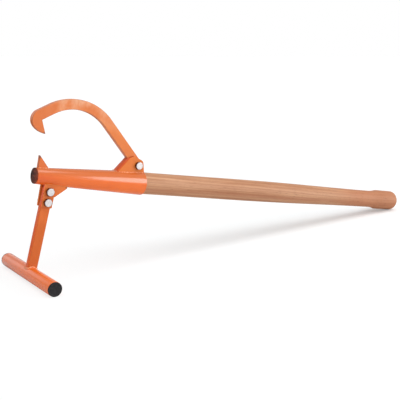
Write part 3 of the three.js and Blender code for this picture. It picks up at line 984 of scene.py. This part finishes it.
def fasteners():
    """Each bolt, washer and nut, laid across the tool with the bolt's head on the near side."""
    lean = math.sin(LEG_LEAN), math.cos(LEG_LEAN)
    pivot = turned_about_y(hook_pivot - tool_origin, -tool_tilt)
    places = {"hook": (pivot[0], pivot[2], 0.0, BRACKET_HALF)}
    for name, drop in LEG_BOLT_DROPS.items():
        places[name] = (LEG_ROOT - drop * lean[0], -drop * lean[1], LEG_LEAN, LEG_PLATES_HALF)
    kinds = {"bolt": bolt_surface, "washer": washer_surface, "nut": nut_surface}
    for name, (x, z, angle, half) in places.items():
        for kind, surface in kinds.items():
            points, faces = surface(half)
            across = np.stack([points[..., 2], points[..., 0], points[..., 1]], axis=-1)
            across = turned_about_y(across, angle) + np.array([x, 0, z])
            node = f"{name}_{kind}"
            piece(f"{node}_plated", [(from_tool(across), faces)], "zinc", stands_for=[node], sharp=28)


def plate_from_solid(node, name, edge, paint, body="tool", chamfered=False, worn="worn_edge"):
    """A copy of a solid as whole flat faces with its edges rounded off. The rounded edges are worn,
    and so are the 45 degree ones of a chamfered plate."""
    mesh = frame["nodes"][node].data.copy()
    mesh.name = name
    work = bmesh.new()
    work.from_mesh(mesh)
    bmesh.ops.remove_doubles(work, verts=work.verts, dist=SOLID_MERGE)
    bmesh.ops.dissolve_limit(work, angle_limit=FLAT_ANGLE, verts=work.verts, edges=work.edges)
    work.to_mesh(mesh)
    work.free()
    made = settle(name, mesh, "enamel", body, [node], sharp=30, paint=paint)
    mesh.materials.append(PAINTS[worn])
    if chamfered:
        normals = np.empty(len(mesh.polygons) * 3)
        mesh.polygons.foreach_get("normal", normals)
        slanted = np.abs(np.abs(normals[1::3]) - CHAMFER_NORMAL) < CHAMFER_SPREAD
        mesh.polygons.foreach_set("material_index", slanted.astype(np.int32))
    bevel = made.modifiers.new("rounded_edges", "BEVEL")
    bevel.material = 1
    bevel.width = edge
    bevel.segments = 3
    bevel.limit_method = "ANGLE"
    bevel.angle_limit = ROUNDED_ANGLE
    bevel.harden_normals = True


def bead(path, radius, closed=False, pitch=BEAD_PITCH):
    """A weld bead: a round rope along a path of (n, 3) points. Its radius swells between ripples by
    the size of a sine of the run, and falls to nothing at both ends of an open path."""
    ahead = np.roll(path, -1, axis=0) - np.roll(path, 1, axis=0)
    if not closed:
        ahead[0] = path[1] - path[0]
        ahead[-1] = path[-1] - path[-2]
    ahead /= np.linalg.norm(ahead, axis=1, keepdims=True)
    steps = np.linalg.norm(np.diff(path, axis=0), axis=1)
    run = np.concatenate([[0], np.cumsum(steps)])
    size = radius * (BEAD_LOW + BEAD_SWELL * np.abs(np.sin(math.pi * run / pitch)))
    if not closed:
        to_end = np.minimum(run, run[-1] - run)
        size *= np.sqrt(np.clip(to_end / (2 * radius), 0, 1))
    guide = np.array([0.0, 0.0, 1.0])
    side = np.cross(ahead, guide)
    side /= np.linalg.norm(side, axis=1, keepdims=True)
    over = np.cross(side, ahead)
    angle = np.linspace(0, TURN, BEAD_SIDES, endpoint=False)
    rim = side[:, None] * np.cos(angle)[:, None] + over[:, None] * np.sin(angle)[:, None]
    points = path[:, None] + rim * size[:, None, None]
    return points, grid_faces(len(path), BEAD_SIDES, closed)


def resampled(path):
    """A path with points evenly spaced along it, as close as the rings of a weld bead."""
    run = np.concatenate([[0], np.cumsum(np.linalg.norm(np.diff(path, axis=0), axis=1))])
    even = np.linspace(0, run[-1], max(int(run[-1] / BEAD_SPACING), 4))
    return np.stack([np.interp(even, run, path[:, axis]) for axis in range(3)], axis=1)


def on_tube(station, across, back=1):
    """Points on the tube's outside at a station and a distance across it, on its back or belly."""
    station, across = np.broadcast_arrays(station, across)
    height = np.sqrt(np.maximum(tube_radius(station) ** 2 - across ** 2, 0))
    return np.stack([station, across, back * height], axis=-1)


def welds():
    """Beads where the tooth, the bracket, the leg's plates and the foot bar meet their seats."""
    ends = TOOTH_START, TOOTH_START + TOOTH_LENGTH
    for_tooth = []
    for side in (-1, 1):
        line = on_tube(np.linspace(*ends, TOOTH_LINE_POINTS), side * TOOTH_HALF)
        for_tooth.append(bead(from_tool(resampled(line)), THIN_BEAD))
    piece("tooth_welds", for_tooth, "enamel", paint="weld_enamel")

    bend = BRACKET_BEAD_CORNER
    run = np.linspace(BRACKET_END, BRACKET_START + bend, LONG_LINE_POINTS)
    turn = np.linspace(0, math.pi / 2, CORNER_LINE_POINTS)
    corner_x = BRACKET_START + bend * (1 - np.sin(turn))
    corner_y = BRACKET_HALF - bend + bend * np.cos(turn)
    x = np.concatenate([run, corner_x])
    y = np.concatenate([np.full(len(run), BRACKET_HALF), corner_y])
    x = np.concatenate([x, x[::-1]])
    y = np.concatenate([-y, y[::-1]])
    line = resampled(on_tube(x, y))
    piece("bracket_weld", [bead(from_tool(line), BRACKET_BEAD)], "enamel", paint="weld_enamel")

    for_plates = []
    ends = LEG_ROOT + LEG_PLATE_FRONT, LEG_ROOT + LEG_PLATE_REAR
    for side in (-1, 1):
        line = on_tube(np.linspace(*ends, LONG_LINE_POINTS), side * LEG_PLATES_HALF, -1)
        for_plates.append(bead(from_tool(resampled(line)), THIN_BEAD))
    piece("leg_plate_welds", for_plates, "enamel", paint="plate_enamel")

    half_x, half_y = LEG_WIDTH / 2, LEG_DEPTH / 2
    outline = rounded([
        (-half_x, -half_y, LEG_CORNER),
        (half_x, -half_y, LEG_CORNER),
        (half_x, half_y, LEG_CORNER),
        (-half_x, half_y, LEG_CORNER),
    ])
    outline = np.concatenate([outline, outline[:1]])
    flat = resampled(np.column_stack([outline, np.zeros(len(outline))]))[:-1]
    height = np.sqrt(np.maximum(FOOT_RADIUS ** 2 - flat[:, 0] ** 2, 0)) - LEG_SPAN
    line = np.column_stack([flat[:, :2], height])
    rope = bead(from_leg(line), FOOT_BEAD, closed=True, pitch=FOOT_BEAD_PITCH)
    piece("foot_weld", [rope], "enamel", paint="weld_enamel")


def floor():
    """A pale floor that shows the tool's shadow. To the camera it is partly lit and partly glowing,
    so that it is white where no shadow falls. It glows most towards the foot bar, where the shadow
    is faint, and a little more under the handle's end. In gloss it is darker, most behind the tool."""
    bpy.ops.mesh.primitive_plane_add(size=FLOOR_SIZE)
    made = bpy.context.object
    made.name = "floor"
    paint = Paint("pale_floor")
    x, y, _ = paint.split(paint.place())
    by_foot = (-1.0 * x).step(*FLOOR_BY_FOOT)
    by_knob = x.step(*FLOOR_BY_KNOB)
    share = 0.14 + 0.66 * by_foot + 0.12 * by_knob
    # The lit floor's slight blue cancels, as painted light, the warm light that the tool throws into its shadow.
    lit = paint.node("ShaderNodeBsdfDiffuse", None, {"Color": (0.965, 0.99, 1, 1)})
    mirrored = paint.node("ShaderNodeLightPath", out="Is Glossy Ray")
    behind = y.step(*FLOOR_BEHIND)
    gloss = paint.mix(behind, (0.65, 0.65, 0.65, 1), (0.10, 0.10, 0.10, 1))
    tone = paint.mix(mirrored, (0.90, 0.90, 0.90, 1), gloss)
    dim = paint.node("ShaderNodeBsdfDiffuse", None, {"Color": tone})
    glow = paint.node("ShaderNodeEmission", None, {"Color": (1, 1, 1, 1), "Strength": 1.0})
    seen = paint.node("ShaderNodeLightPath", out="Is Camera Ray")
    bright = paint.node("ShaderNodeMixShader", None, {0: share, 1: lit, 2: glow})
    both = paint.node("ShaderNodeMixShader", None, {0: seen, 1: dim, 2: bright})
    paint.node("ShaderNodeOutputMaterial", None, {"Surface": both})
    made.data.materials.append(paint.owner)


def sun(name, strength, from_way, spread):
    """A soft lamp that shines from a direction, with its spread in degrees."""
    data = bpy.data.lights.new(name, "SUN")
    data.energy = strength
    data.angle = math.radians(spread)
    made = bpy.data.objects.new(name, data)
    made.rotation_mode = "QUATERNION"
    made.rotation_quaternion = Vector(from_way).to_track_quat("Z", "Y")
    bpy.context.scene.collection.objects.link(made)


def light():
    """A wide lamp overhead, a low one at the near side that glances off the tube, a faint one behind
    that glances off the foot bar, and a surround. The surround is white behind the tool, white low
    down in its gloss and dimmer higher up, and dimmest where it only lights the tool."""
    sun("overhead", 1.70, (0.0, -0.22, 1.0), 54)
    sun("beside", 1.90, (0.743, -0.669, 0.2126), 42)
    sun("behind", 0.11, (-0.24, 0.89, 0.38), 26)
    paint = Paint("surround", "worlds")
    bpy.context.scene.world = paint.owner
    seen = paint.node("ShaderNodeLightPath", out="Is Camera Ray")
    mirrored = paint.node("ShaderNodeLightPath", out="Is Glossy Ray")
    through = paint.node("ShaderNodeLightPath", out="Is Transmission Ray")
    upward = paint.split(paint.node("ShaderNodeTexCoord", out="Generated"))[2]
    clear = (seen + through).step(0.0, 1.0) + mirrored * (1.0 - 0.85 * upward.step(0.04, 0.20))
    strength = 0.43 + 0.57 * clear
    back = paint.node("ShaderNodeBackground", None, {"Color": (1, 1, 1, 1), "Strength": strength})
    paint.node("ShaderNodeOutputWorld", None, {"Surface": back})


for cad_node in frame["nodes"].values():
    cad_node.data.materials.clear()
    cad_node.data.materials.append(PAINTS["enamel"])

socket_tube()
foot_tube()
plugs()
handle()
fasteners()
plate_from_solid("hook", "hook_bar", HOOK_EDGE_ROUND, "hook_sheen_enamel", "hook", True, "hook_edge")
plate_from_solid("tooth", "tooth_plate", PLATE_EDGE_ROUND, "tooth_enamel", chamfered=True)
plate_from_solid("hook_bracket", "folded_bracket", PLATE_EDGE_ROUND, "bracket_enamel")
plate_from_solid("leg_plate_near", "near_plate", PLATE_EDGE_ROUND, "gusset_enamel")
plate_from_solid("leg_plate_far", "far_plate", PLATE_EDGE_ROUND, "plate_enamel")
plate_from_solid("leg", "leg_tube", LEG_EDGE_ROUND, "leg_enamel")
welds()
floor()
light()

bpy.context.scene.view_settings.view_transform = "Standard"
